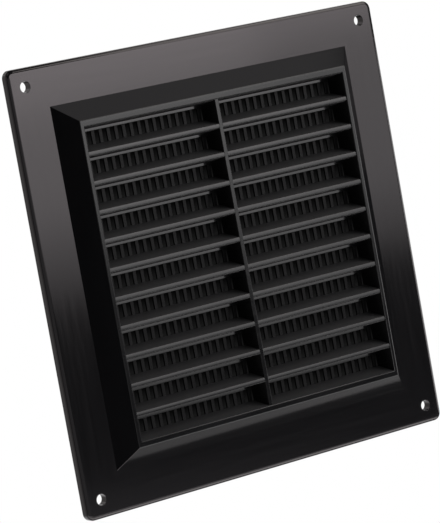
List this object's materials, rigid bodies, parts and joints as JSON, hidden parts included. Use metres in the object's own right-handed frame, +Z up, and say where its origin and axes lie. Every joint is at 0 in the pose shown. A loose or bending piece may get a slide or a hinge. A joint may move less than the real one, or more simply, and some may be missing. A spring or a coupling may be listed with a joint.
{
  "type": "ventilation grille",
  "caption": "Square black plastic wall vent with a raised bevelled body, columns of horizontal louvre slots backed by a fly screen of vertical bars, and a screw hole in each corner.",
  "frame": {"origin": "centre of the screw pattern on the wall plane, which is also the centre of the plate's back", "axes": "+X to the right and +Z up as the front is looked at, +Y from the front into the wall"},
  "size_m": [0.229, 0.0145, 0.229],
  "materials": {
    "black_plastic": "satin moulded"
  },
  "bodies": {
    "root": {"grille": "black_plastic"}
  },
  "joints": []
}
